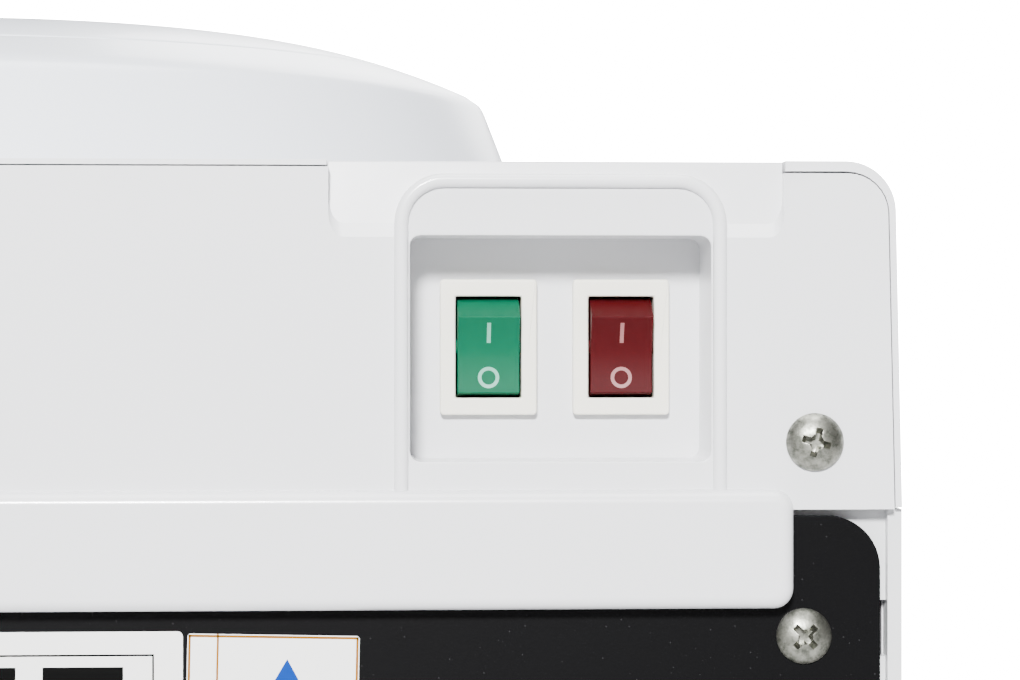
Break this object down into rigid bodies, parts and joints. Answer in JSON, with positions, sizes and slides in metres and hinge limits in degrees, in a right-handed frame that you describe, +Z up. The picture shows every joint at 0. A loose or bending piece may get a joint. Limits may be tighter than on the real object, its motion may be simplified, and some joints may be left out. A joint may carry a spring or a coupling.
{
  "type": "countertop water dispenser",
  "caption": "Countertop hot and cold water dispenser with a domed bottle seat, two lever taps, drip tray, and rocker switches in an arched recess of the rear cover.",
  "frame": {"origin": "on the surface it stands on, under the centre of the overall box", "axes": "+Z up, -Y towards the person at the taps, +Y the rear cover with the switches, +X to that person's right"},
  "size_m": [0.31, 0.306, 0.432],
  "materials": {
    "white_plastic": "glossy moulded ABS",
    "dome_plastic": "high gloss moulded ABS, slightly bluish",
    "painted_steel": "white powder coat",
    "black_plate": "satin black powder coat",
    "grey_plastic": "fine moulded texture",
    "ivory_plastic": "moulded nylon, semi gloss",
    "green_plastic": "translucent polycarbonate, fine texture",
    "red_plastic": "translucent polycarbonate, fine texture",
    "blue_plastic": "moulded ABS",
    "amber_plastic": "translucent polycarbonate",
    "stainless": "brushed stainless steel",
    "zinc_screw": "zinc plate",
    "aluminium": "extruded, plain",
    "foam": "closed-cell foam",
    "silicone": "translucent silicone",
    "rubber": "black rubber",
    "circuit_board": "solder mask",
    "ceramic": "alumina ceramic",
    "dark_plastic": "fine moulded texture"
  },
  "bodies": {
    "housing": {"front_panel": "white_plastic", "top_cover": "white_plastic", "rear_cover": "white_plastic", "cold_tap_body": "white_plastic", "hot_tap_body": "white_plastic", "collar_ring": "dome_plastic", "side_panel_left": "painted_steel", "side_panel_right": "painted_steel", "back_plate": "black_plate", "base_pan": "grey_plastic", "cooling_switch_bezel": "ivory_plastic", "heating_switch_bezel": "ivory_plastic", "cooling_lens": "green_plastic", "heating_lens": "red_plastic", "power_lens": "amber_plastic", "cold_tank": "stainless", "hot_tank": "stainless", "tank_shelf": "stainless", "hot_bracket": "stainless", "cold_lever_pin": "stainless", "hot_lever_pin": "stainless", "cover_screw_left": "zinc_screw", "cover_screw_right": "zinc_screw", "plate_screw_left": "zinc_screw", "plate_screw_right": "zinc_screw", "band_heater": "zinc_screw", "cold_block": "aluminium", "heat_sink": "aluminium", "tank_insulation": "foam", "hot_insulation": "foam", "seat_seal": "silicone", "cold_hose": "silicone", "hot_hose": "silicone", "feed_hose": "silicone", "drain_hose": "silicone", "foot_front_left": "rubber", "foot_front_right": "rubber", "foot_rear_left": "rubber", "foot_rear_right": "rubber", "cord_gland": "rubber", "power_board": "circuit_board", "peltier_module": "ceramic", "fan_frame": "dark_plastic", "board_tray": "dark_plastic", "overheat_cutout": "dark_plastic", "drain_fitting": "dark_plastic"},
    "cooling_rocker": {"cooling_rocker": "green_plastic"},
    "heating_rocker": {"heating_rocker": "red_plastic"},
    "cold_lever": {"cold_tap_lever": "blue_plastic"},
    "hot_lever": {"hot_tap_lever": "red_plastic"},
    "cold_stem": {"cold_tap_stem": "silicone"},
    "hot_stem": {"hot_tap_stem": "silicone"},
    "safety_catch": {"hot_safety_catch": "white_plastic"},
    "drip_tray": {"drip_tray": "dark_plastic"},
    "drip_grille": {"drip_grille": "stainless"},
    "bottle_seat": {"bottle_seat": "dome_plastic", "water_guide": "silicone"},
    "fan_rotor": {"fan_rotor": "dark_plastic"},
    "drain_cap": {"drain_cap": "dark_plastic"},
    "reset_button": {"reset_button": "red_plastic"}
  },
  "joints": [
    {"name": "cooling_rocker_tip", "type": "hinge", "parent": "housing", "child": "cooling_rocker", "pos_m": [-0.0933, 0.133, 0.3716], "axis": [1, 0, 0], "range_deg": [0, 24]},
    {"name": "heating_rocker_tip", "type": "hinge", "parent": "housing", "child": "heating_rocker", "pos_m": [-0.1139, 0.133, 0.3716], "axis": [1, 0, 0], "range_deg": [0, 24]},
    {"name": "cold_lever_press", "type": "hinge", "parent": "housing", "child": "cold_lever", "pos_m": [0.042, -0.108, 0.258], "axis": [1, 0, 0], "range_deg": [0, 18], "stiffness_Nm_per_rad": 0.5},
    {"name": "hot_lever_press", "type": "hinge", "parent": "housing", "child": "hot_lever", "pos_m": [-0.042, -0.108, 0.258], "axis": [1, 0, 0], "range_deg": [0, 18], "stiffness_Nm_per_rad": 0.5},
    {"name": "cold_stem_lift", "type": "slide", "parent": "housing", "child": "cold_stem", "axis": [0, 0, 1], "range_m": [0, 0.002]},
    {"name": "hot_stem_lift", "type": "slide", "parent": "housing", "child": "hot_stem", "axis": [0, 0, 1], "range_m": [0, 0.002]},
    {"name": "safety_catch_slide", "type": "slide", "parent": "hot_lever", "child": "safety_catch", "axis": [0, -1, 0], "range_m": [0, 0.005], "stiffness_N_per_m": 150},
    {"name": "drip_tray_slide", "type": "slide", "parent": "housing", "child": "drip_tray", "axis": [0, -1, 0], "range_m": [0, 0.09]},
    {"name": "drip_grille_lift", "type": "slide", "parent": "drip_tray", "child": "drip_grille", "axis": [0, 0, 1], "range_m": [0, 0.04]},
    {"name": "bottle_seat_lift", "type": "slide", "parent": "housing", "child": "bottle_seat", "axis": [0, 0, 1], "range_m": [0, 0.12]},
    {"name": "fan_spin", "type": "hinge", "parent": "housing", "child": "fan_rotor", "pos_m": [0, 0.11785, 0.25], "axis": [0, 1, 0], "continuous": true},
    {"name": "drain_cap_pull", "type": "slide", "parent": "housing", "child": "drain_cap", "axis": [0, 1, 0], "range_m": [0, 0.025]},
    {"name": "reset_button_press", "type": "slide", "parent": "housing", "child": "reset_button", "axis": [0, 0, -1], "range_m": [0, 0.0015], "stiffness_N_per_m": 300}
  ],
  "couplings": [
    {"joint": "cold_stem_lift", "follows": "cold_lever_press", "m_per_rad": 0.006},
    {"joint": "hot_stem_lift", "follows": "hot_lever_press", "m_per_rad": 0.006}
  ]
}
